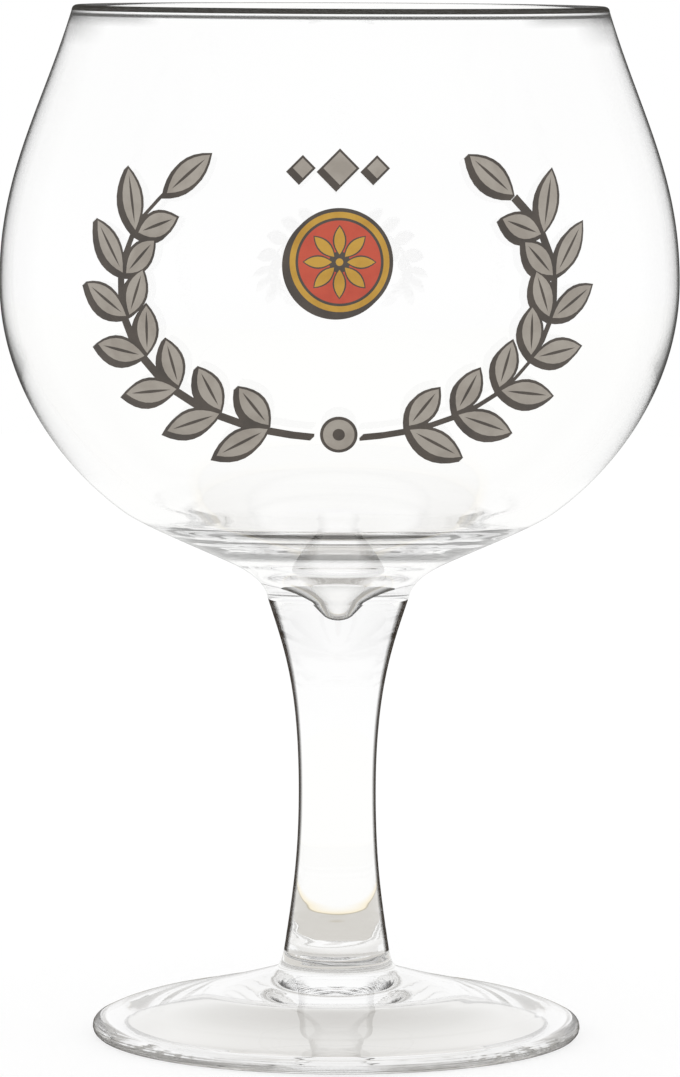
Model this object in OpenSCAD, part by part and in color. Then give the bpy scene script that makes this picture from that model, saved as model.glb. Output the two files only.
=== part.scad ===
// Chalice beer glass: a blown bowl fused to a solid stem and a spun foot,
// with a fired enamel ornament on the front of the bowl.
// The origin is on the table under the middle of the foot, and the glass stands along +Z.
// The ornament faces -Y.

/* [Bowl] */
// Height of the bowl from the seam on the stem to the rim
bowl_h = 90.8; // [80:0.1:100]
// Outer diameter at the belly, the widest place
bowl_d = 104; // [92:0.5:116]
// Height of the belly above the seam
belly_h = 48.6; // [44:0.1:54]
// Outer diameter at the mouth
mouth_d = 82; // [72:0.1:88]
// Thickness of the side wall
wall = 1.6; // [1.2:0.1:2.4]
// Lean of the wall from upright, just under the rim, in degrees
mouth_lean = 17; // [8:1:22]

/* [Underside of the bowl] */
// Outer diameter where the belly turns into the underside
shoulder_d = 66.4; // [60:0.2:74]
// Height of that turn above the seam
shoulder_h = 13.6; // [12:0.1:16]
// Slope of the underside at the turn, in degrees from level
shoulder_slope = 36; // [30:1:42]
// Outer diameter where the underside meets the neck
neck_d = 23; // [20:0.2:26]
// Height of the neck above the seam
neck_h = 2.9; // [2:0.1:4]
// Slope of the underside where it meets the neck, in degrees from level
neck_slope = 28; // [22:1:34]
// Thickness of the glass at the turn
shoulder_wall = 2.8; // [2.2:0.1:3.2]

/* [Floor of the bowl] */
// Diameter at which the floor is flattest
floor_d = 45; // [42:0.2:48]
// Height of the floor there above the seam
floor_h = 12.1; // [11.5:0.1:13]
// Diameter of the bell-shaped dimple at its wide mouth
dimple_d = 20; // [18:0.1:21]
// Height of the mouth above the seam
dimple_mouth_h = 7.1; // [6.6:0.1:7.6]
// Diameter of the dimple where it narrows under its mouth
throat_d = 12; // [11:0.1:13]
// Height of that place above the seam
throat_h = 4.9; // [4.5:0.1:5.3]
// Depth of the dimple's tip below the seam
dimple_depth = 2; // [1.6:0.1:2.6]
// Radius of the rounded tip
dimple_tip_r = 1.8; // [1.5:0.1:2.1]

/* [Button of the bowl in the seat of the stem] */
// Diameter of the button at the seam
button_d = 14; // [12:0.2:16]
// Diameter of the flat end of the button
button_end_d = 6.4; // [5:0.2:8]
// Depth of the button below the seam
button_depth = 6; // [5:0.1:8]

/* [Stem] */
// Length of the stem from the hub of the foot to the seam
stem_l = 54.5; // [46:0.5:64]
// Diameter at the seam with the bowl
stem_top_d = 21.6; // [19:0.2:24]
// Diameter at the waist, the thinnest place
waist_d = 11.9; // [10:0.1:14]
// Height of the waist above the hub
waist_h = 24.3; // [20:0.1:30]
// Diameter at the seam with the hub
stem_bottom_d = 16.2; // [14.5:0.1:18]

/* [Foot] */
// Height of the hub above the table
foot_h = 13.2; // [11.5:0.1:15]
// Diameter of the foot
foot_d = 75.2; // [66:0.2:84]
// Thickness of the rounded edge
edge_t = 2.9; // [2.2:0.1:3.6]
// Diameter at which the hub runs out into the disc
hub_d = 24; // [22:0.5:28]
// Height of the disc's top there, above the table
hub_run_h = 9.5; // [8.5:0.1:10.5]
// Slope of the disc at its edge, in degrees from level
edge_slope = 27.5; // [20:0.5:32]
// Width of the flat ring that the glass stands on
rest_w = 1.6; // [1:0.1:3]
// Height of the hollow under the foot
hollow_h = 7; // [6:0.1:7.6]

/* [Enamel] */
// Thickness of the fired enamel film
film_t = 0.12; // [0.1:0.01:0.2]
// Height of the middle of the ornament above the seam
print_h = 50.3; // [47:0.1:53]
// Half the width of the wreath, measured round the glass
wreath_w = 34; // [28:0.5:36]
// Height from the lowest point of the wreath to its widest place
wreath_drop = 21.5; // [18:0.5:23]
// Length of one leaf
leaf_l = 9; // [7:0.1:10]
// Width of one leaf
leaf_w = 3.4; // [2.6:0.1:4]
// Width of the dark line round each grey shape
line_w = 0.45; // [0.3:0.05:0.6]
// Distance of the drop shadow, to the left and down alike
shadow = 0.55; // [0.3:0.05:0.8]
// Diameter of the medallion
medallion_d = 15.6; // [12:0.2:18]

/* [Hidden] */
$fn = 96;

// Steps along each curve of an outline
curve_steps = 10;
// Steps along the dimple and the small roundings
short_steps = 8;

// Heights above the table
seam_z = foot_h + stem_l;
neck_z = seam_z + neck_h;
shoulder_z = seam_z + shoulder_h;
belly_z = seam_z + belly_h;
rim_z = seam_z + bowl_h;
print_z = seam_z + print_h;
dimple_z = seam_z + dimple_mouth_h;
throat_z = seam_z + throat_h;

// Reach of the handles that shape each curve, as shares of the size that the curve spans
mouth_shares = [0.4, 0.38];
belly_shares = [0.434, 0.64];
neck_shares = [0.87, 0.21];
under_shares = [0.19, 0.185];
shelf_shares = [0.3, 0.27];
funnel_shares = [0.49, 0.34];
bell_shares = [0.33, 0.33];
dimple_shares = [0.35, 0.35];
stem_top_shares = [0.55, 0.27];
stem_bottom_shares = [0.42, 0.36];
hub_shares = [0.82, 0.88];
disc_shares = [0.6, 0.26];
hollow_shares = [0.15, 0.26, 0.55];
// Slopes that shape the ends of the curves, in degrees from upright
stem_flare = 18;
stem_spread = 8.6;
hub_spread = 12.4;
// Slopes from level: the disc where the hub runs out, the floor of the bowl where it is flattest,
// and the dimple's side at its mouth, at its throat and at its tip
hub_run_slope = 16.5;
floor_slope = 10.4;
dimple_slope = 31;
throat_slope = 40;
tip_slope = 56.5;

// Outlines in this file are lists of [radius, height]

// A point on a smooth curve from a to d, whose ends aim at b and c
function curve_point(a, b, c, d, t) =
    pow(1 - t, 3) * a + 3 * pow(1 - t, 2) * t * b + 3 * (1 - t) * t * t * c + t * t * t * d;
// The points of that curve, without its last one
function curve(a, b, c, d, steps = curve_steps) =
    [for (i = [0 : steps - 1]) curve_point(a, b, c, d, i / steps)];
// A step of the given length in the direction of an angle
function aim(angle, length) = length * [cos(angle), sin(angle)];
// Points on a round from one angle to another, both ends included
function round_points(centre, r, from, to, steps = short_steps) =
    [for (i = [0 : steps]) centre + aim(from + (to - from) * i / steps, r)];
// An outline moved outwards by a distance, each point square to its neighbours
function grown(points, distance) = [
    for (i = [0 : len(points) - 1])
        let (
            before = points[max(i - 1, 0)],
            after = points[min(i + 1, len(points) - 1)],
            along = (after - before) / norm(after - before)
        )
        points[i] + distance * [along[1], -along[0]]
];
function backwards(points) = [for (i = [len(points) - 1 : -1 : 0]) points[i]];

// Outer surface of the bowl, from the neck, whose corner is rounded, up to the rim's rounding
lip_r = wall / 2;
rim_edge = [mouth_d / 2, rim_z - lip_r];
belly = [bowl_d / 2, belly_z];
turn = [shoulder_d / 2, shoulder_z];
neck = [neck_d / 2, neck_z];
neck_foot = [stem_top_d / 2, seam_z];
belly_rise = rim_edge[1] - belly_z;
belly_drop = belly_z - shoulder_z;
under_run = turn[0] - neck[0];
round_start = neck + neck_shares[0] * (neck_foot - neck);
round_end = neck + aim(neck_slope, neck_shares[1] * under_run);
bowl_outside = concat(
    curve(
        round_start,
        round_start + 2 / 3 * (neck - round_start),
        round_end + 2 / 3 * (neck - round_end),
        round_end,
        short_steps
    ),
    curve(
        round_end,
        round_end + aim(neck_slope, under_shares[1] * under_run),
        turn - aim(shoulder_slope, under_shares[0] * under_run),
        turn
    ),
    curve(
        turn,
        turn + aim(shoulder_slope, belly_shares[1] * (belly[0] - turn[0])),
        belly - [0, belly_shares[0] * belly_drop],
        belly
    ),
    curve(
        belly,
        belly + [0, mouth_shares[0] * belly_rise],
        rim_edge - aim(90 + mouth_lean, mouth_shares[1] * belly_rise),
        rim_edge
    ),
    [rim_edge]
);

// Inner surface of the bowl, from the rim's rounding down to the tip of the dimple
inner_edge = rim_edge - [wall, 0];
inner_belly = belly - [wall, 0];
inner_turn = turn + aim(90 + shoulder_slope, shoulder_wall);
dimple_edge = [dimple_d / 2, dimple_z];
throat = [throat_d / 2, throat_z];
tip_centre = [0, seam_z - dimple_depth + dimple_tip_r];
tip_side = tip_centre + aim(tip_slope - 90, dimple_tip_r);
floor_edge = [floor_d / 2, seam_z + floor_h];
shelf_run = inner_turn[0] - floor_edge[0];
funnel_run = floor_edge[0] - dimple_edge[0];
bell_run = norm(dimple_edge - throat);
dimple_run = norm(throat - tip_side);
bowl_inside = concat(
    curve(
        inner_edge,
        inner_edge - aim(90 + mouth_lean, mouth_shares[1] * belly_rise),
        inner_belly + [0, mouth_shares[0] * belly_rise],
        inner_belly
    ),
    curve(
        inner_belly,
        inner_belly - [0, belly_shares[0] * (belly_z - inner_turn[1])],
        inner_turn + aim(shoulder_slope, belly_shares[1] * (inner_belly[0] - inner_turn[0])),
        inner_turn
    ),
    curve(
        inner_turn,
        inner_turn - aim(shoulder_slope, shelf_shares[0] * shelf_run),
        floor_edge + aim(floor_slope, shelf_shares[1] * shelf_run),
        floor_edge
    ),
    curve(
        floor_edge,
        floor_edge - aim(floor_slope, funnel_shares[0] * funnel_run),
        dimple_edge + aim(dimple_slope, funnel_shares[1] * funnel_run),
        dimple_edge
    ),
    curve(
        dimple_edge,
        dimple_edge - aim(dimple_slope, bell_shares[0] * bell_run),
        throat + aim(throat_slope, bell_shares[1] * bell_run),
        throat,
        short_steps
    ),
    curve(
        throat,
        throat - aim(throat_slope, dimple_shares[0] * dimple_run),
        tip_side + aim(tip_slope, dimple_shares[1] * dimple_run),
        tip_side,
        short_steps
    ),
    round_points(tip_centre, dimple_tip_r, tip_slope - 90, -90, short_steps)
);

// The seat that the bowl's button fills in the top of the stem
seat = [
    [0, seam_z - button_depth],
    [button_end_d / 2, seam_z - button_depth],
    [button_d / 2, seam_z]
];

// Blown bowl with its rounded rim, and the button that fuses it to the stem
module bowl() color([0.93, 0.95, 0.95, 0.35])
    rotate_extrude() polygon(concat(
        seat,
        [neck_foot],
        bowl_outside,
        round_points(rim_edge - [lip_r, 0], lip_r, 0, 180),
        bowl_inside
    ));

// Solid stem, thinnest at its waist, with the seat in its top
module stem() {
    waist = [waist_d / 2, foot_h + waist_h];
    bottom = [stem_bottom_d / 2, foot_h];
    above = seam_z - waist[1];
    color([0.91, 0.93, 0.93, 0.45]) rotate_extrude() polygon(concat(
        [[0, foot_h]],
        curve(
            bottom,
            bottom + aim(90 + stem_spread, stem_bottom_shares[1] * waist_h),
            waist - [0, stem_bottom_shares[0] * waist_h],
            waist
        ),
        curve(
            waist,
            waist + [0, stem_top_shares[0] * above],
            neck_foot - aim(90 - stem_flare, stem_top_shares[1] * above),
            neck_foot
        ),
        [neck_foot],
        backwards(seat)
    ));
}

// Spun foot: a hub that runs out into a thin disc, hollow underneath, so that it stands on a ring
module foot() {
    edge_r = edge_t / 2;
    edge_centre = [foot_d / 2 - edge_r, edge_r];
    disc_edge = edge_centre + aim(90 - edge_slope, edge_r);
    hub = [stem_bottom_d / 2, foot_h];
    hub_run = [hub_d / 2, hub_run_h];
    drop = foot_h - hub_run_h;
    disc_run = disc_edge[0] - hub_run[0];
    rest_edge = [edge_centre[0] - rest_w, 0];
    color([0.9, 0.92, 0.92, 0.45]) rotate_extrude() polygon(concat(
        [[0, foot_h]],
        curve(
            hub,
            hub + aim(hub_spread - 90, hub_shares[0] * drop),
            hub_run + aim(180 - hub_run_slope, hub_shares[1] * drop),
            hub_run
        ),
        curve(
            hub_run,
            hub_run + aim(-hub_run_slope, disc_shares[0] * disc_run),
            disc_edge + aim(180 - edge_slope, disc_shares[1] * disc_run),
            disc_edge
        ),
        round_points(edge_centre, edge_r, 90 - edge_slope, -90),
        curve(
            rest_edge,
            rest_edge + [-hollow_shares[0] * rest_edge[0], hollow_shares[1] * hollow_h],
            [hollow_shares[2] * rest_edge[0], hollow_h],
            [0, hollow_h]
        ),
        [[0, hollow_h]]
    ));
}

// The ornament is drawn flat, as [distance round the glass, height above its middle],
// and wrap() brings a distance round the glass to where the front view shows it
function wrap(u) = bowl_d / 2 * sin(u / (bowl_d / 2) * 180 / PI);
function wrapped(points) = [for (p = points) [wrap(p[0]), p[1]]];

// A thin skin that follows the outside of the bowl, cut to a flat drawing
module on_bowl() {
    intersection() {
        rotate_extrude() polygon(concat(bowl_outside, backwards(grown(bowl_outside, film_t))));
        translate([0, 0, print_z]) rotate([90, 0, 0]) linear_extrude(height = bowl_d) children();
    }
}

// A leaf with two pointed ends, its middle at a place, turned by an angle
leaf_steps = 8;
function leaf(place, angle, l, w) = [
    for (side = [-1, 1], i = [0 : leaf_steps - 1])
        let (
            t = side * (2 * i / leaf_steps - 1),
            along = -t * l / 2,
            across = side * w / 2 * (1 - t * t)
        )
        place + aim(angle, along) + aim(angle + 90, across)
];

// A drawing and its shadow, which falls to the left and down
shadow_steps = 4;
module with_shadow() {
    for (i = [0 : shadow_steps]) translate(-[shadow, shadow] * i / shadow_steps) children();
}

// The branch of a spray: part of an oval, from the knot up and round to its tip
start_angle = -84;
end_angle = 38;
branch_stations = 8;
branch_w = 0.5;
function branch_point(angle) = [wreath_w * cos(angle), wreath_drop * sin(angle)];
function branch_slope(angle) = atan2(wreath_drop * cos(angle), -wreath_w * sin(angle));
// Stations lie closer in angle near the knot, where the oval is flat, so that the leaves keep one spacing
station_power = 1.15;
function branch_angle(i) =
    start_angle + (end_angle - start_angle) * pow(i / branch_stations, station_power);

// Leaves leave the branch in pairs, and one more ends it, as [place, angle]
leaf_lean = 40;
leaf_shares = [0.78, 1];
function leaf_place(angle, turn_by, l) =
    branch_point(angle) + aim(branch_slope(angle) + turn_by, l / 2 + branch_w);
function spray_leaves() = concat(
    [
        for (i = [1 : branch_stations - 1], side = [-1, 1])
            let (l = leaf_l * (side < 0 ? leaf_shares[1] : leaf_shares[0]), a = branch_angle(i))
            [leaf_place(a, side * leaf_lean, l), branch_slope(a) + side * leaf_lean, l]
    ],
    [
        for (a = [end_angle])
            [leaf_place(a, 0, leaf_l), branch_slope(a), leaf_l]
    ]
);

// One spray's flat shapes, for the right side, or for the left side when side is -1
function sided(points, side) = [for (p = points) [side * p[0], p[1]]];
module leaves(side, extra) {
    for (f = spray_leaves())
        polygon(wrapped(sided(leaf(f[0], f[1], f[2] + 2 * extra, leaf_w + 2 * extra), side)));
}
module veins(side) {
    for (f = spray_leaves())
        polygon(wrapped(sided(leaf(f[0], f[1], f[2] * leaf_shares[0], line_w), side)));
}
module branch(side) {
    inner = [for (i = [0 : 2 * branch_stations]) branch_point(branch_angle(i / 2))];
    outer = grown(inner, branch_w);
    polygon(wrapped(sided(concat(inner, backwards(outer)), side)));
}
module spray_grey(side) {
    on_bowl() difference() {
        leaves(side, 0);
        veins(side);
    }
}
module spray_dark(side) {
    on_bowl() difference() {
        with_shadow() {
            leaves(side, line_w);
            branch(side);
        }
        difference() {
            leaves(side, 0);
            veins(side);
        }
    }
}
module left_spray_dark() color([0.27, 0.23, 0.2]) spray_dark(-1);
module left_spray_grey() color([0.63, 0.6, 0.55]) spray_grey(-1);
module right_spray_dark() color([0.27, 0.23, 0.2]) spray_dark(1);
module right_spray_grey() color([0.63, 0.6, 0.55]) spray_grey(1);

// Knot that ties the two sprays at the bottom of the wreath: a ring
knot_r = 2.3;
knot_hole_r = 0.9;
knot_place = [0, -wreath_drop];
module knot_ring(extra) {
    difference() {
        circle(r = knot_r + extra);
        circle(r = knot_hole_r - extra);
    }
}
module knot_grey() color([0.63, 0.6, 0.55]) on_bowl() translate(knot_place) knot_ring(0);
module knot_dark() color([0.27, 0.23, 0.2]) on_bowl() translate(knot_place) difference() {
    circle(r = knot_r + line_w);
    knot_ring(0);
}

// Medallion: a gold ring round a red disc with a gold rosette of eight petals
medallion_place = [0, 4];
gold_ring_shares = [0.93, 0.82];
red_share = 0.77;
petals = 8;
petal_shares = [0.52, 0.2];
eye_share = 0.14;
medallion_r = medallion_d / 2;
module rosette(extra) {
    for (i = [0 : petals - 1]) {
        angle = 360 * i / petals;
        l = petal_shares[0] * medallion_r;
        polygon(leaf(
            aim(angle, l / 2 + eye_share * medallion_r),
            angle, l + 2 * extra, petal_shares[1] * medallion_r + 2 * extra
        ));
    }
}
module medallion_red() color([0.76, 0.29, 0.2]) on_bowl() translate(medallion_place)
    difference() {
        circle(r = red_share * medallion_r);
        rosette(line_w / 2);
        circle(r = (eye_share + line_w / medallion_r) * medallion_r);
    }
module medallion_gold() color([0.78, 0.6, 0.21]) on_bowl() translate(medallion_place) {
    difference() {
        circle(r = gold_ring_shares[0] * medallion_r);
        circle(r = gold_ring_shares[1] * medallion_r);
    }
    rosette(0);
    circle(r = eye_share * medallion_r / 2);
}
module medallion_dark() color([0.27, 0.23, 0.2]) on_bowl() translate(medallion_place)
    difference() {
        with_shadow() circle(r = medallion_r);
        difference() {
            circle(r = gold_ring_shares[0] * medallion_r);
            circle(r = gold_ring_shares[1] * medallion_r);
        }
        difference() {
            circle(r = red_share * medallion_r);
            rosette(line_w / 2);
            circle(r = (eye_share + line_w / medallion_r) * medallion_r);
        }
        rosette(0);
        circle(r = eye_share * medallion_r / 2);
    }

// Three lozenges over the medallion, the middle one the largest
lozenge_place = [0, 17.5];
lozenge_gap = 5.4;
lozenge_r = 2.4;
lozenge_shares = [0.6, 1, 0.6];
module lozenges(extra) {
    for (i = [-1 : 1]) {
        r = lozenge_r * lozenge_shares[i + 1] + extra;
        translate(lozenge_place + [i * lozenge_gap, 0]) polygon([[r, 0], [0, r], [-r, 0], [0, -r]]);
    }
}
module lozenges_grey() color([0.63, 0.6, 0.55]) on_bowl() lozenges(0);
module lozenges_dark() color([0.27, 0.23, 0.2]) on_bowl() difference() {
    with_shadow() lozenges(line_w);
    lozenges(0);
}

foot();
stem();
bowl();
left_spray_dark();
left_spray_grey();
right_spray_dark();
right_spray_grey();
knot_dark();
knot_grey();
medallion_dark();
medallion_red();
medallion_gold();
lozenges_dark();
lozenges_grey();
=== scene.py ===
import math

import bpy
import numpy as np
from mathutils import Matrix


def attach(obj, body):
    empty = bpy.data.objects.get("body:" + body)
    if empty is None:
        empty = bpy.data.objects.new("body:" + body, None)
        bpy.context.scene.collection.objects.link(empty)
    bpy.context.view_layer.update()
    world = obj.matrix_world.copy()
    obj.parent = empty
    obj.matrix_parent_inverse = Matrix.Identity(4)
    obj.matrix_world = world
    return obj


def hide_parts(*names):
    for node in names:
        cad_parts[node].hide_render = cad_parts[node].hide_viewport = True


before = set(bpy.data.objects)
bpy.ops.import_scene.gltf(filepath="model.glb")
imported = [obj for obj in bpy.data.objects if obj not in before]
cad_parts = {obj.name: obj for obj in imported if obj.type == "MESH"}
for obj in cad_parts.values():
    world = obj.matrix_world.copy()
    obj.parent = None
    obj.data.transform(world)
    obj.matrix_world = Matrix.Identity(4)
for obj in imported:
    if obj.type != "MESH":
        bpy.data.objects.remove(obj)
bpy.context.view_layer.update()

# Foot: a disc of clear soda-lime glass, spun while soft, with a low hub in its middle. It is rounded
# at its edge and hollow underneath, about 3 mm thick all over, so that it stands on a narrow ring.
foot_h = 0.0132
foot_r = 0.0376
edge_r = 0.00145
edge_slope = 27.5
hub_top_r = 0.0081
hub_r = 0.012
hub_run_h = 0.0095
hub_spread = 12.4
hub_run_slope = 16.5
rest_w = 0.0016
hollow_h = 0.007
curve_steps = 48
edge_steps = 72
rest_steps = 12

# Each kind of wave in the worked surface has a depth, the pitches between its crests, and pairs of
# radii or heights over which it grows or dies out
foot_top_h = 0.0045
twist_depth = 0.000008
twist_pitches = (0.0017, 0.0011)
twist_radii = (0.0102, 0.0094)
twist_heights = (foot_h, foot_h - 0.0006)
ring_depth = 0.000007
ring_pitches = (0.0022, 0.0013)
ring_radii = (0.0098, 0.0108)
ring_start_r = 0.0105
ring_full_r = 0.0115
ring_spread = 0.0038
swell_depth = 0.00003
swell_pitch = 0.0105
swell_start_r = 0.02
swell_inner_radii = (0.017, 0.023)
swell_outer_radii = (0.0355, 0.0315)
ridge_depth = 0.000015
ridge_pitches = (0.00062, 0.00038)
ridge_r = foot_r - 0.0004
ridge_spread = 0.0011
ridge_lower_heights = (0, 0.0004)
ridge_upper_heights = (0.00302, 0.00262)
calm_angle = 1.5 * math.pi
calm_spread = 0.22


def aim(angle, length):
    """A step of the given length in the direction of an angle in degrees, as (outwards, up)."""
    return length * np.array([math.cos(math.radians(angle)), math.sin(math.radians(angle))])


def curve(a, b, c, d, steps=curve_steps):
    """Points from a to d on a cubic curve whose ends aim at b and c: each point is the four
    corners weighted by the cubic Bernstein shares of its place t. The last point is left out."""
    t = np.linspace(0, 1, steps, endpoint=False)[:, None]
    return (1 - t) ** 3 * a + 3 * (1 - t) ** 2 * t * b + 3 * (1 - t) * t**2 * c + t**3 * d


def rounding(centre, r, start, end, steps=20):
    """Points on a circle about centre, from one angle in degrees to another, both included."""
    t = np.radians(np.linspace(start, end, steps))[:, None]
    return centre + r * np.hstack([np.cos(t), np.sin(t)])


def passed(value, start, end):
    """How much of the way from start to end the value has passed, as a share held between 0 and 1."""
    return np.clip((value - start) / (end - start), 0, 1)


def crests(way, pitch, shift):
    """A sine along the way, with its crests one pitch apart, that is moved on by shift."""
    return np.sin(way * 2 * math.pi / pitch + shift)


def hill(value, middle, spread):
    """A bell curve: 1 at the middle, falling off with the square of the distance over the spread."""
    return np.exp(-(((value - middle) / spread) ** 2))


def turned(name, outline, joints, ripple=None, others=(), around=256):
    """A closed body turned about the Z axis from an outline of (radius, height), which starts and
    ends on the axis and runs up on the outside. The grid has one column for each direction round
    the axis and one row for each point of the outline. ripple(angle, radius, height) gives how far
    a point moves out along the outline's normal, as glass worked by hand does. joints are the
    stretches of the outline, by number, where the piece is fused to the next: they take the second
    material. The stretches listed in others take the third material and those after it."""
    outline = np.asarray(outline, float)
    rows = outline[1:-1]
    along = np.gradient(rows, axis=0)
    along /= np.linalg.norm(along, axis=1)[:, None]
    normal = np.stack([along[:, 1], -along[:, 0]], axis=1)
    angle = np.linspace(0, 2 * math.pi, around, endpoint=False)[None, :]
    radius, height = rows[:, :1], rows[:, 1:]
    push = np.zeros((len(rows), around))
    if ripple is not None:
        push = push + ripple(angle, radius, height)
    radius = radius + push * normal[:, :1]
    height = height + push * normal[:, 1:]
    grid = np.stack([radius * np.cos(angle), radius * np.sin(angle), height + 0 * angle], axis=-1)
    first, last = [0, 0, outline[0, 1]], [0, 0, outline[-1, 1]]
    points = np.vstack([grid.reshape(-1, 3), [first], [last]])
    row = np.arange(len(rows) - 1)[:, None] * around
    here = np.arange(around)[None, :]
    there = (here + 1) % around
    quads = np.stack([row + here, row + there, row + around + there, row + around + here], axis=-1)
    end = (len(rows) - 1) * around
    first_fan = np.stack([np.full(around, len(points) - 2), there[0], here[0]], axis=-1)
    last_fan = np.stack([np.full(around, len(points) - 1), end + here[0], end + there[0]], axis=-1)
    mesh = bpy.data.meshes.new(name)
    faces = quads.reshape(-1, 4).tolist() + first_fan.tolist() + last_fan.tolist()
    mesh.from_pydata(points.tolist(), [], faces)
    stretch = np.concatenate(
        [
            np.repeat(np.arange(1, len(rows)), around),
            np.zeros(around, int),
            np.full(around, len(rows)),
        ]
    )
    kind = np.isin(stretch, joints).astype(np.int32)
    for number, stretches in enumerate(others):
        kind[np.isin(stretch, stretches)] = number + 2
    mesh.polygons.foreach_set("material_index", kind)
    mesh.polygons.foreach_set("use_smooth", np.ones(len(faces), bool))
    ends = np.empty(len(mesh.edges) * 2, np.int32)
    mesh.edges.foreach_get("vertices", ends)
    ring = np.where(ends < len(points) - 2, ends // around, -1).reshape(-1, 2)
    level = ring[:, 0] == ring[:, 1]
    corner = [s for s in range(1, len(rows) + 1) if (s in joints) != (s - 1 in joints)]
    corner += [s for s in joints if s - 1 in joints]
    sharp = level & np.isin(ring[:, 0] + 1, corner)
    mesh.attributes.new("sharp_edge", "BOOLEAN", "EDGE").data.foreach_set("value", sharp)
    mesh.update()
    piece = bpy.data.objects.new(name, mesh)
    bpy.context.scene.collection.objects.link(piece)
    return piece


def link(tree, source, target):
    """Joins two node sockets, each given as (node, socket name or number)."""
    tree.links.new(source[0].outputs[source[1]], target[0].inputs[target[1]])


def set_stops(ramp, stops):
    """Puts (place, colour) stops on a colour ramp. A single number stands for a grey."""
    parts = ramp.color_ramp.elements
    while len(parts) < len(stops):
        parts.new(0.5)
    for part, (place, colour) in zip(parts, stops):
        part.position = place
        part.color = (*np.broadcast_to(colour, 3), 1.0)


def shade(tree, stops):
    """The share of painted shade, which follows the facing angle of the surface through the given stops.
    """
    facing = tree.nodes.new("ShaderNodeLayerWeight")
    facing.inputs["Blend"].default_value = 0.5
    ramp = tree.nodes.new("ShaderNodeValToRGB")
    set_stops(ramp, stops)
    link(tree, (facing, "Facing"), (ramp, "Fac"))
    return ramp


def risen(tree, start, end):
    """A share that goes from 0 to 1 between two heights of the piece."""
    place = tree.nodes.new("ShaderNodeTexCoord")
    split = tree.nodes.new("ShaderNodeSeparateXYZ")
    share = tree.nodes.new("ShaderNodeMapRange")
    share.inputs["From Min"].default_value = start
    share.inputs["From Max"].default_value = end
    link(tree, (place, "Object"), (split, "Vector"))
    link(tree, (split, "Z"), (share, "Value"))
    return share


def glass(name, dark, edge, inside, levels=(), rings=None):
    """Clear polished glass with painted shade. Where the glass is seen at a grazing angle, the colour dark
    is mixed in as painted shade, as if thick glass showed the dark sides of a room there. It follows the
    stops of edge, or of inside where light meets the surface from within. Each of the levels is two
    heights and the stops that take over from edge between them. rings are two heights and the stops by
    which inside counts there."""
    made = bpy.data.materials.new(name)
    made.use_nodes = True
    tree = made.node_tree
    clear = tree.nodes["Principled BSDF"]
    clear.inputs["Base Color"].default_value = (1.0, 1.0, 1.0, 1.0)
    clear.inputs["Roughness"].default_value = 0.0
    clear.inputs["IOR"].default_value = 1.5
    clear.inputs["Transmission Weight"].default_value = 1.0
    # Painted shade: a dark diffuse colour that the facing angle mixes into the clear glass
    painted_shade = tree.nodes.new("ShaderNodeBsdfDiffuse")
    painted_shade.inputs["Color"].default_value = (*dark, 1.0)
    both = tree.nodes.new("ShaderNodeMixShader")
    side = tree.nodes.new("ShaderNodeNewGeometry")
    pick = tree.nodes.new("ShaderNodeMix")
    outer = (shade(tree, edge), "Color")
    for start, end, stops in levels:
        rise = tree.nodes.new("ShaderNodeMix")
        link(tree, (risen(tree, start, end), "Result"), (rise, "Factor"))
        link(tree, outer, (rise, "A"))
        link(tree, (shade(tree, stops), "Color"), (rise, "B"))
        outer = (rise, "Result")
    inner = (shade(tree, inside), "Color")
    if rings is not None:
        start, end, stops = rings
        worked = tree.nodes.new("ShaderNodeValToRGB")
        set_stops(worked, stops)
        weaker = tree.nodes.new("ShaderNodeMath")
        weaker.operation = "MULTIPLY"
        link(tree, (risen(tree, start, end), "Result"), (worked, "Fac"))
        link(tree, inner, (weaker, 0))
        link(tree, (worked, "Color"), (weaker, 1))
        inner = (weaker, "Value")
    link(tree, (side, "Backfacing"), (pick, "Factor"))
    link(tree, outer, (pick, "A"))
    link(tree, inner, (pick, "B"))
    link(tree, (pick, "Result"), (both, "Fac"))
    link(tree, (clear, "BSDF"), (both, 1))
    link(tree, (painted_shade, "BSDF"), (both, 2))
    link(tree, (both, "Shader"), (tree.nodes["Material Output"], "Surface"))
    return made


# The fused joint between two pieces is one mass of glass, so nothing of it shows
fused_joint = bpy.data.materials.new("fused_joint")
fused_joint.use_nodes = True
fused_joint.node_tree.nodes.clear()
joint_end = fused_joint.node_tree.nodes.new("ShaderNodeOutputMaterial")
joint_clear = fused_joint.node_tree.nodes.new("ShaderNodeBsdfTransparent")
link(fused_joint.node_tree, (joint_clear, "BSDF"), (joint_end, "Surface"))


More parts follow.
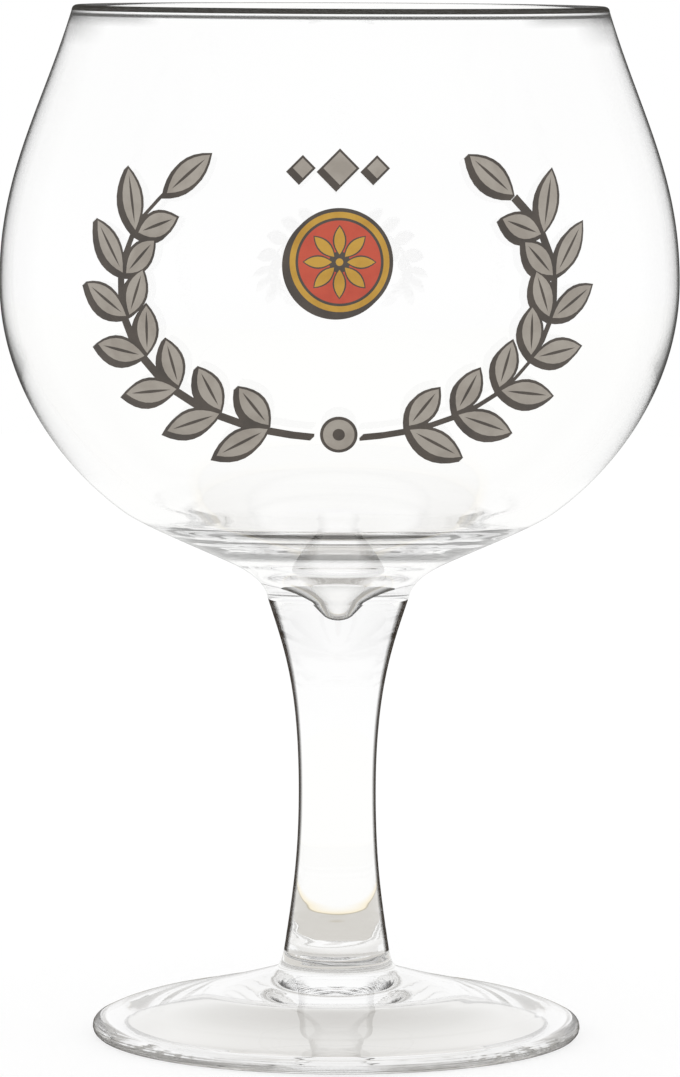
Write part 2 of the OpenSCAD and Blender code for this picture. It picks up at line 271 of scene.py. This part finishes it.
def foot_ripple(angle, radius, height):
    """Waves left by spinning. A twist round the hub's collar and rings round the hub are sines that
    drift as they go round, and die out at the joint and outwards. A slow swell runs over the disc.
    Fine ridges, whose height wanders with the angle, run along the rounded edge and fade in front."""
    twist = crests(height, twist_pitches[0], 2 * angle) + 0.5 * crests(height, twist_pitches[1], -angle)
    collar = passed(radius, *twist_radii) * passed(height, *twist_heights)
    drift = 0.9 * np.sin(angle + 0.6) + 0.5 * np.sin(2 * angle + 2.0)
    rings = crests(radius - ring_start_r, ring_pitches[0], drift)
    rings = rings + 0.5 * crests(radius - ring_start_r, ring_pitches[1], 2 * drift)
    near = hill(np.maximum(radius, ring_full_r), ring_full_r, ring_spread) * passed(radius, *ring_radii)
    swell = crests(radius - swell_start_r, swell_pitch, 0.6 * np.sin(angle + 1))
    disc = passed(radius, *swell_inner_radii) * passed(radius, *swell_outer_radii)
    coarse = crests(height, ridge_pitches[0], 1.5 * np.sin(2 * angle + 0.4) + 0.9 * np.sin(5 * angle))
    fine = crests(height, ridge_pitches[1], 2 * np.sin(3 * angle) + 0.4 * np.sin(11 * angle))
    edge = hill(radius, ridge_r, ridge_spread)
    edge = edge * passed(height, *ridge_lower_heights) * passed(height, *ridge_upper_heights)
    calm = 1 - 0.65 * passed(hill(angle, calm_angle, calm_spread), 0.15, 1.15)
    top = height > foot_top_h
    worked = twist_depth * twist * collar + ring_depth * rings * near + swell_depth * swell * disc
    return top * worked + ridge_depth * (coarse + 0.8 * fine) * edge * calm


edge_centre = np.array([foot_r - edge_r, edge_r])
disc_edge = edge_centre + aim(90 - edge_slope, edge_r)
hub = np.array([hub_top_r, foot_h])
hub_run = np.array([hub_r, hub_run_h])
hub_drop = foot_h - hub_run_h
disc_run = disc_edge[0] - hub_run[0]
rest_edge = np.array([edge_centre[0] - rest_w, 0])
foot_outline = np.vstack(
    [
        [[0, foot_h]],
        curve(
            hub,
            hub + aim(hub_spread - 90, 0.82 * hub_drop),
            hub_run + aim(180 - hub_run_slope, 0.88 * hub_drop),
            hub_run,
        ),
        curve(
            hub_run,
            hub_run + aim(-hub_run_slope, 0.6 * disc_run),
            disc_edge + aim(180 - edge_slope, 0.26 * disc_run),
            disc_edge,
        ),
        rounding(edge_centre, edge_r, 90 - edge_slope, -90, edge_steps),
        curve(
            rest_edge,
            rest_edge + np.array([-0.15 * rest_edge[0], 0.26 * hollow_h]),
            np.array([0.55 * rest_edge[0], hollow_h]),
            np.array([0, hollow_h]),
        ),
        [[0, hollow_h]],
    ]
)[::-1]
# Painted shade for the foot: a dark colour mixed in at grazing angles, thin over the disc, heavy over the
# rounded edge and the ring it stands on
foot_shade_colour = (0.07, 0.065, 0.06)
foot_glass = glass(
    "foot_glass",
    foot_shade_colour,
    edge=[(0.88, 0), (0.95, 0.25), (1, 0.7)],
    inside=[(0.9, 0), (1, 0.2)],
)
edge_glass = glass(
    "edge_glass",
    foot_shade_colour,
    edge=[(0.65, 0), (0.8, 0.32), (0.92, 0.78), (1, 0.95)],
    inside=[(0.5, 0), (0.75, 0.38), (1, 0.78)],
)
edge_start = 1 + curve_steps - rest_steps
foot_edge = range(edge_start, edge_start + rest_steps + edge_steps)
foot = turned("foot_spun", foot_outline, [len(foot_outline) - 2], foot_ripple, [foot_edge])
for material in (foot_glass, fused_joint, edge_glass):
    foot.data.materials.append(material)
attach(foot, "root")
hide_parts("foot")

# Stem: a solid rod of glass, drawn out so that it is thinnest at its waist.
# Its lower end is fused to the hub of the foot, and its seat at the top to the bowl.
stem_l = 0.0545
stem_top_r = 0.0108
stem_flare = 18
waist_r = 0.00595
waist_h = 0.0243
stem_spread = 8.6
seam_z = foot_h + stem_l
button_r = 0.007
button_end_r = 0.0032
button_depth = 0.006
stem_steps = 72
rod_wave_depth = 0.000018
rod_twist_depth = 0.000008
rod_twist_pitch = 0.0021


def stem_ripple(angle, radius, height):
    """Slow unevenness of a rod drawn by hand: a wave and a half up its length, turning as it rises,
    that dies out at both joints, and a tighter twist just above the foot."""
    up = passed(height, foot_h, seam_z)
    bend = np.sin(2 * angle + 9 * up) + 0.6 * np.sin(3 * angle - 14 * up)
    slow = rod_wave_depth * bend * np.sin(math.pi * up) * passed(radius, 0, waist_r)
    low = passed(up, 0, 0.02) * passed(up, 0.12, 0.06)
    return slow + rod_twist_depth * crests(height - foot_h, rod_twist_pitch, 2 * angle) * low


stem_top = np.array([stem_top_r, seam_z])
waist = np.array([waist_r, foot_h + waist_h])
stem_bottom = np.array([hub_top_r, foot_h])
above_waist = seam_z - waist[1]
seat = np.array([[0, seam_z - button_depth], [button_end_r, seam_z - button_depth], [button_r, seam_z]])
stem_outline = np.vstack(
    [
        [[0, foot_h]],
        curve(
            stem_bottom,
            stem_bottom + aim(90 + stem_spread, 0.36 * waist_h),
            waist - np.array([0, 0.42 * waist_h]),
            waist,
            stem_steps,
        ),
        curve(
            waist,
            waist + np.array([0, 0.55 * above_waist]),
            stem_top - aim(90 - stem_flare, 0.27 * above_waist),
            stem_top,
            stem_steps,
        ),
        [stem_top],
        seat[::-1],
    ]
)
stem_end = len(stem_outline) - 1
stem_joints = [0, stem_end - 3, stem_end - 2, stem_end - 1]
# Painted shade for the stem: dark outlines down its sides, where it is seen at a grazing angle
stem_shade_colour = (0.03, 0.02, 0.012)
stem_glass = glass(
    "stem_glass",
    stem_shade_colour,
    edge=[(0.56, 0), (0.62, 0.5), (0.7, 0.93), (1, 0.98)],
    inside=[(0.56, 0), (0.62, 0.04), (0.7, 0.08), (1, 0.09)],
)
stem = turned("stem_drawn", stem_outline, stem_joints, stem_ripple)
stem.data.materials.append(stem_glass)
stem.data.materials.append(fused_joint)
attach(stem, "root")
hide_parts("stem")

# Bowl: blown clear glass with a fire-polished rim. Its wall is thin, and its base is a thick lens of
# glass with a bell-shaped dimple, where the stem was drawn down. Its button fills the stem's seat.
bowl_h = 0.0908
bowl_r = 0.052
belly_h = 0.0486
mouth_r = 0.041
wall = 0.0016
mouth_lean = 17
shoulder_r = 0.0332
shoulder_h = 0.0136
shoulder_slope = 36
shoulder_wall = 0.0028
neck_r = 0.0115
neck_h = 0.0029
neck_slope = 28
floor_r = 0.0225
floor_h = 0.0121
floor_slope = 10.4
dimple_r = 0.01
dimple_h = 0.0071
dimple_slope = 31
throat_r = 0.006
throat_h = 0.0049
throat_slope = 40
dimple_depth = 0.002
tip_r = 0.0018
tip_slope = 56.5
round_steps = 32
wall_steps = 36
shelf_steps = 24
funnel_steps = 32
bell_steps = 16
side_steps = 20
tip_steps = 10
lip_steps = 16
floor_wave_depth = 0.0001
floor_wave_pitch = 0.005
floor_wave_inner_radii = (0.01, 0.013)
floor_wave_outer_radii = (0.034, 0.029)

# The bowl's inner surface lies above a cone that widens from over the neck, inside its thick base
cone_h = seam_z + 0.0048
cone_slope = 0.484


def bowl_ripple(angle, radius, height):
    """Rings that the tools left in the thick floor inside: a sine of the radius that drifts as it
    goes round, and fades towards the dimple and up the wall."""
    floor = height > cone_h + cone_slope * (radius - neck_r)
    fade = passed(radius, *floor_wave_inner_radii) * passed(radius, *floor_wave_outer_radii)
    drift = 0.8 * np.sin(angle + 1.1) + 0.5 * np.sin(2 * angle + 0.4)
    return floor_wave_depth * crests(radius, floor_wave_pitch, drift) * fade * floor


lip_r = wall / 2
rim_z = seam_z + bowl_h
rim_edge = np.array([mouth_r, rim_z - lip_r])
belly = np.array([bowl_r, seam_z + belly_h])
shoulder = np.array([shoulder_r, seam_z + shoulder_h])
neck = np.array([neck_r, seam_z + neck_h])
belly_rise = rim_edge[1] - belly[1]
belly_drop = belly[1] - shoulder[1]
under_run = shoulder[0] - neck[0]
round_start = neck + 0.87 * (stem_top - neck)
round_end = neck + aim(neck_slope, 0.21 * under_run)
bowl_outside = np.vstack(
    [
        curve(
            round_start,
            round_start + 2 / 3 * (neck - round_start),
            round_end + 2 / 3 * (neck - round_end),
            round_end,
            round_steps,
        ),
        curve(
            round_end,
            round_end + aim(neck_slope, 0.185 * under_run),
            shoulder - aim(shoulder_slope, 0.19 * under_run),
            shoulder,
        ),
        curve(
            shoulder,
            shoulder + aim(shoulder_slope, 0.64 * (belly[0] - shoulder[0])),
            belly - np.array([0, 0.434 * belly_drop]),
            belly,
            wall_steps,
        ),
        curve(
            belly,
            belly + np.array([0, 0.4 * belly_rise]),
            rim_edge - aim(90 + mouth_lean, 0.38 * belly_rise),
            rim_edge,
            wall_steps,
        ),
    ]
)
inner_edge = rim_edge - np.array([wall, 0])
inner_belly = belly - np.array([wall, 0])
inner_shoulder = shoulder + aim(90 + shoulder_slope, shoulder_wall)
floor_edge = np.array([floor_r, seam_z + floor_h])
dimple_edge = np.array([dimple_r, seam_z + dimple_h])
throat = np.array([throat_r, seam_z + throat_h])
tip_centre = np.array([0, seam_z - dimple_depth + tip_r])
tip_side = tip_centre + aim(tip_slope - 90, tip_r)
shelf_run = inner_shoulder[0] - floor_edge[0]
funnel_run = floor_edge[0] - dimple_edge[0]
bell_run = np.linalg.norm(dimple_edge - throat)
dimple_run = np.linalg.norm(throat - tip_side)
bowl_inside = np.vstack(
    [
        curve(
            inner_edge,
            inner_edge - aim(90 + mouth_lean, 0.38 * belly_rise),
            inner_belly + np.array([0, 0.4 * belly_rise]),
            inner_belly,
            wall_steps,
        ),
        curve(
            inner_belly,
            inner_belly - np.array([0, 0.434 * (belly[1] - inner_shoulder[1])]),
            inner_shoulder + aim(shoulder_slope, 0.64 * (inner_belly[0] - inner_shoulder[0])),
            inner_shoulder,
            wall_steps,
        ),
        curve(
            inner_shoulder,
            inner_shoulder - aim(shoulder_slope, 0.3 * shelf_run),
            floor_edge + aim(floor_slope, 0.27 * shelf_run),
            floor_edge,
            shelf_steps,
        ),
        curve(
            floor_edge,
            floor_edge - aim(floor_slope, 0.49 * funnel_run),
            dimple_edge + aim(dimple_slope, 0.34 * funnel_run),
            dimple_edge,
            funnel_steps,
        ),
        curve(
            dimple_edge,
            dimple_edge - aim(dimple_slope, 0.33 * bell_run),
            throat + aim(throat_slope, 0.33 * bell_run),
            throat,
            bell_steps,
        ),
        curve(
            throat,
            throat - aim(throat_slope, 0.35 * dimple_run),
            tip_side + aim(tip_slope, 0.35 * dimple_run),
            tip_side,
            side_steps,
        ),
        rounding(tip_centre, tip_r, tip_slope - 90, -90, tip_steps),
    ]
)
bowl_outline = np.vstack(
    [
        seat,
        [stem_top],
        bowl_outside,
        rounding(rim_edge - np.array([lip_r, 0]), lip_r, 0, 180, lip_steps),
        bowl_inside[1:],
    ]
)

# Painted shade on the bowl, a dark colour mixed into the glass by the facing angle: on its base and its
# sides outside, then in bands on the rim from below its lip to its top, with the outer half of the lip
# painted almost wholly dark, and on the thick floor and the dimple where light meets them from inside the
# glass
bowl_shade_colour = (0.05, 0.048, 0.045)
lip_shade_colour = (0.04, 0.037, 0.032)
bright = [(0, 0), (1, 0)]
base_edge_shade = [(0.9, 0), (1, 0.45)]
side_edge_shade = [(0.53, 0), (0.7, 0.05), (0.76, 0.14), (0.8, 0.24), (0.85, 0.46), (0.885, 0.82), (0.93, 0.97)]
lower_side_heights = (0.086, 0.1)
rim_shade_levels = [
    (*lower_side_heights, side_edge_shade),
    (rim_z - 0.006, rim_z - 0.003, [(0.5, 0), (0.7, 0.35), (0.85, 0.5), (0.93, 0.97)]),
    (rim_z - 0.003, rim_z - 0.0018, [(0.28, 0), (0.36, 0.3), (0.6, 0.45), (0.93, 0.97)]),
    (rim_z - 0.0017, rim_z - 0.0015, [(0, 0.85), (1, 0.95)]),
    (rim_z - 0.0012, rim_z - 0.001, [(0.35, 0), (0.6, 0.25), (0.93, 0.97)]),
]
bowl_glass = glass("bowl_glass", bowl_shade_colour, base_edge_shade, bright, rim_shade_levels)
inner_glass = glass("inner_glass", bowl_shade_colour, bright, bright)
lip_glass = glass("lip_glass", lip_shade_colour, [(0, 0.97), (1, 0.97)], bright)
# Painted shade in the thick base, seen from within the glass: grey bands on the floor between two heights,
# and a grey band with dark outlines in the dimple
floor_shade_bands = [(0.32, 0), (0.36, 1), (0.45, 1), (0.5, 0), (0.64, 0), (0.68, 0.35), (0.74, 0.35), (0.78, 0)]
dimple_inside_shade = [(0.1, 0), (0.3, 0.4), (0.45, 0.4), (0.62, 0.9), (1, 0.97)]
floor_inside_shade = [(0.1, 0), (0.28, 0.55), (0.55, 0.85), (1, 0.95)]
shade_band_heights = (0.0745, 0.084)
floor_glass = glass("floor_glass", bowl_shade_colour, bright, floor_inside_shade, rings=(*shade_band_heights, floor_shade_bands))
dimple_glass = glass("dimple_glass", bowl_shade_colour, base_edge_shade, dimple_inside_shade)

# Where each stretch of the outline starts: the lip, the inner wall, the floor, the bell and the dimple
lip_start = len(seat) + 1 + len(bowl_outside)
inner_start = lip_start + lip_steps - 1
dimple_start = len(bowl_outline) - side_steps - tip_steps
bell_start = dimple_start - bell_steps
floor_start = bell_start - funnel_steps - shelf_steps
bowl_parts = [
    range(lip_start, lip_start + lip_steps // 2),
    [*range(inner_start, floor_start), *range(bell_start, dimple_start)],
    range(floor_start, bell_start),
    range(dimple_start, len(bowl_outline) - 1),
]
bowl = turned("bowl_blown", bowl_outline, [0, 1, 2], bowl_ripple, bowl_parts)
for material in (bowl_glass, fused_joint, lip_glass, inner_glass, floor_glass, dimple_glass):
    bowl.data.materials.append(material)
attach(bowl, "root")
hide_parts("bowl")

# Sprays: two leafy branches that curve up from the bottom of the wreath.
# They are screen-printed in two colours of enamel, a dark ground and warm grey leaves, and fired on.


def enamel(name, colour, deeper, roughness, metal=0.0):
    """Fired enamel: a thin ground-glass colour with a satin skin. Its colour drifts slightly between
    two tones where the screen laid it thicker, and its skin has the fine grain of the powder."""
    made = bpy.data.materials.new(name)
    made.use_nodes = True
    tree = made.node_tree
    shader = tree.nodes["Principled BSDF"]
    shader.inputs["Metallic"].default_value = metal
    place = tree.nodes.new("ShaderNodeTexCoord")
    cloud = tree.nodes.new("ShaderNodeTexNoise")
    cloud.inputs["Scale"].default_value = 260.0
    cloud.inputs["Detail"].default_value = 3.0
    tones = tree.nodes.new("ShaderNodeValToRGB")
    tones.color_ramp.elements[0].position = 0.35
    tones.color_ramp.elements[0].color = (*deeper, 1.0)
    tones.color_ramp.elements[1].position = 0.6
    tones.color_ramp.elements[1].color = (*colour, 1.0)
    grain = tree.nodes.new("ShaderNodeTexNoise")
    grain.inputs["Scale"].default_value = 5200.0
    grain.inputs["Detail"].default_value = 2.0
    skin = tree.nodes.new("ShaderNodeMapRange")
    skin.inputs["To Min"].default_value = roughness - 0.08
    skin.inputs["To Max"].default_value = roughness + 0.1
    bump = tree.nodes.new("ShaderNodeBump")
    bump.inputs["Strength"].default_value = 0.25
    bump.inputs["Distance"].default_value = 0.00002
    link(tree, (place, "Object"), (cloud, "Vector"))
    link(tree, (place, "Object"), (grain, "Vector"))
    link(tree, (cloud, "Fac"), (tones, "Fac"))
    link(tree, (tones, "Color"), (shader, "Base Color"))
    link(tree, (grain, "Fac"), (skin, "Value"))
    link(tree, (skin, "Result"), (shader, "Roughness"))
    link(tree, (grain, "Fac"), (bump, "Height"))
    link(tree, (bump, "Normal"), (shader, "Normal"))
    return made


def finish_film(nodes, material):
    """Gives CAD films their enamel."""
    for node in nodes:
        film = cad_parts[node]
        film.data.materials.clear()
        film.data.materials.append(material)


dark_enamel = enamel("dark_enamel", (0.075, 0.06, 0.048), (0.052, 0.042, 0.034), 0.4)
grey_enamel = enamel("grey_enamel", (0.39, 0.355, 0.31), (0.33, 0.295, 0.255), 0.42, 0.15)
finish_film(["left_spray_dark", "right_spray_dark"], dark_enamel)
finish_film(["left_spray_grey", "right_spray_grey"], grey_enamel)

# Knot: the ring that ties the two sprays at the bottom of the wreath.
# It is printed with the same two screens as they are.
finish_film(["knot_dark"], dark_enamel)
finish_film(["knot_grey"], grey_enamel)

# Medallion: a gold ring and an eight-petalled rosette on a red disc, on a dark ground.
# The red and the gold each have a screen of their own, fired last.
red_enamel = enamel("red_enamel", (0.56, 0.078, 0.038), (0.49, 0.06, 0.03), 0.34)
gold_enamel = enamel("gold_enamel", (0.57, 0.33, 0.05), (0.48, 0.26, 0.035), 0.36, 0.25)
finish_film(["medallion_dark"], dark_enamel)
finish_film(["medallion_red"], red_enamel)
finish_film(["medallion_gold"], gold_enamel)

# Lozenges: three small diamonds over the medallion, the middle one the largest.
# They belong to the dark and the grey screens.
finish_film(["lozenges_dark"], dark_enamel)
finish_film(["lozenges_grey"], grey_enamel)

# Table: a pale round top that the glass stands on, with its rear edge far behind the foot.
# Glass and gloss see painted shade on it: grey under and round the foot, a darker ring of painted
# shadow under the foot's edge, a cream ring of painted light a little further out, and then white.
table_r = 1.2
table_z = -0.00002
table_sides = 128
zone_reach = 0.1
rim_angle = np.linspace(0, 2 * math.pi, table_sides, endpoint=False)
table_points = np.stack(
    [table_r * np.cos(rim_angle), table_r * np.sin(rim_angle), np.full(table_sides, table_z)], axis=-1
)
table_mesh = bpy.data.meshes.new("table")
table_mesh.from_pydata(table_points.tolist(), [], [list(range(table_sides))])
table = bpy.data.objects.new("table", table_mesh)
bpy.context.scene.collection.objects.link(table)
table_top = bpy.data.materials.new("table_top")
table_top.use_nodes = True
tree = table_top.node_tree
tree.nodes.clear()
table_end = tree.nodes.new("ShaderNodeOutputMaterial")
rays = tree.nodes.new("ShaderNodeLightPath")
matt = tree.nodes.new("ShaderNodeBsdfDiffuse")
matt.inputs["Color"].default_value = (0.88, 0.88, 0.88, 1.0)
plain = tree.nodes.new("ShaderNodeBsdfDiffuse")
plain.inputs["Color"].default_value = (0.3, 0.3, 0.3, 1.0)
lift = tree.nodes.new("ShaderNodeEmission")
lift.inputs["Color"].default_value = (0.72, 0.72, 0.72, 1.0)
lit = tree.nodes.new("ShaderNodeAddShader")
seen = tree.nodes.new("ShaderNodeMixShader")
painted_zone_glow = tree.nodes.new("ShaderNodeEmission")
through = tree.nodes.new("ShaderNodeMath")
through.operation = "ADD"
through.use_clamp = True
behind = tree.nodes.new("ShaderNodeMixShader")
place = tree.nodes.new("ShaderNodeTexCoord")
from_foot = tree.nodes.new("ShaderNodeVectorMath")
from_foot.operation = "LENGTH"
reach = tree.nodes.new("ShaderNodeMapRange")
reach.inputs["From Max"].default_value = zone_reach
painted_zones = tree.nodes.new("ShaderNodeValToRGB")
# Painted shade and light by distance from the axis, in tenths of a metre: grey under the foot, a dark ring
# of painted shadow under its edge, grey again, a thin brown line and a cream ring of painted light near 62
# mm, and white from 70 mm
painted_zone_stops = [
    (0.0, (0.58, 0.565, 0.54)),
    (0.1, (0.62, 0.605, 0.58)),
    (0.2, (0.72, 0.71, 0.685)),
    (0.27, (0.86, 0.85, 0.83)),
    (0.32, (0.84, 0.83, 0.81)),
    (0.35, (0.6, 0.58, 0.56)),
    (0.36, (0.42, 0.41, 0.39)),
    (0.385, (0.42, 0.41, 0.39)),
    (0.4, (0.66, 0.64, 0.6)),
    (0.615, (0.66, 0.64, 0.6)),
    (0.625, (0.5, 0.45, 0.34)),
    (0.635, (0.97, 0.88, 0.68)),
    (0.7, (1.0, 1.0, 0.99)),
]
set_stops(painted_zones, painted_zone_stops)
link(tree, (place, "Object"), (from_foot, 0))
link(tree, (from_foot, "Value"), (reach, "Value"))
link(tree, (reach, "Result"), (painted_zones, "Fac"))
link(tree, (painted_zones, "Color"), (painted_zone_glow, "Color"))
link(tree, (plain, "BSDF"), (lit, 0))
link(tree, (lift, "Emission"), (lit, 1))
link(tree, (rays, "Is Camera Ray"), (seen, "Fac"))
link(tree, (matt, "BSDF"), (seen, 1))
link(tree, (lit, "Shader"), (seen, 2))
link(tree, (rays, "Is Glossy Ray"), (through, 0))
link(tree, (rays, "Is Transmission Ray"), (through, 1))
link(tree, (through, "Value"), (behind, "Fac"))
link(tree, (seen, "Shader"), (behind, 1))
link(tree, (painted_zone_glow, "Emission"), (behind, 2))
link(tree, (behind, "Shader"), (table_end, "Surface"))
table_mesh.materials.append(table_top)

# Studio: a white tent that lights the glass evenly from all round.
# Glass and gloss show it white at eye level and overhead, and a little greyer in between.
studio = bpy.data.worlds.new("studio")
bpy.context.scene.world = studio
studio.use_nodes = True
tree = studio.node_tree
tree.nodes.clear()
studio_end = tree.nodes.new("ShaderNodeOutputWorld")
even = tree.nodes.new("ShaderNodeBackground")
even.inputs["Color"].default_value = (1.0, 1.0, 1.0, 1.0)
tent = tree.nodes.new("ShaderNodeBackground")
direction = tree.nodes.new("ShaderNodeTexCoord")
split = tree.nodes.new("ShaderNodeSeparateXYZ")
by_height = tree.nodes.new("ShaderNodeValToRGB")
set_stops(by_height, [(0.0, 1.0), (0.15, 0.99), (0.3, 0.94), (0.45, 0.88), (0.6, 0.97), (0.75, 1.0)])
rays = tree.nodes.new("ShaderNodeLightPath")
through = tree.nodes.new("ShaderNodeMath")
through.operation = "ADD"
through.use_clamp = True
seen = tree.nodes.new("ShaderNodeMixShader")
link(tree, (direction, "Generated"), (split, "Vector"))
link(tree, (split, "Z"), (by_height, "Fac"))
link(tree, (by_height, "Color"), (tent, "Color"))
link(tree, (rays, "Is Glossy Ray"), (through, 0))
link(tree, (rays, "Is Transmission Ray"), (through, 1))
link(tree, (through, "Value"), (seen, "Fac"))
link(tree, (even, "Background"), (seen, 1))
link(tree, (tent, "Background"), (seen, 2))
link(tree, (seen, "Shader"), (studio_end, "Surface"))

# Camera: a metre in front of the glass and just above its rim. It looks a little down,
# and is rolled by a quarter of a degree, as the photo is.
camera_aside = 0.00025
camera_away = 1.0
camera_h = 0.17037
camera_pitch = 84.66
camera_roll = 0.26
camera = bpy.data.cameras.new("camera")
camera.sensor_fit = "VERTICAL"
camera.sensor_height = 36.0
camera.lens = 218.6
camera.clip_start = 0.01
camera_spot = bpy.data.objects.new("camera", camera)
bpy.context.scene.collection.objects.link(camera_spot)
pitch = Matrix.Rotation(math.radians(camera_pitch), 4, "X")
roll = Matrix.Rotation(math.radians(camera_roll), 4, "Z")
camera_spot.matrix_world = Matrix.Translation((camera_aside, -camera_away, camera_h)) @ pitch @ roll
bpy.context.scene.camera = camera_spot

# Light turns many times in the thick base of the bowl, which goes grey where its way is cut short
glass_bounces = 48
scene = bpy.context.scene
scene.view_settings.view_transform = "Standard"
scene.cycles.max_bounces = glass_bounces
scene.cycles.transmission_bounces = glass_bounces
scene.cycles.glossy_bounces = glass_bounces
scene.cycles.transparent_max_bounces = 16
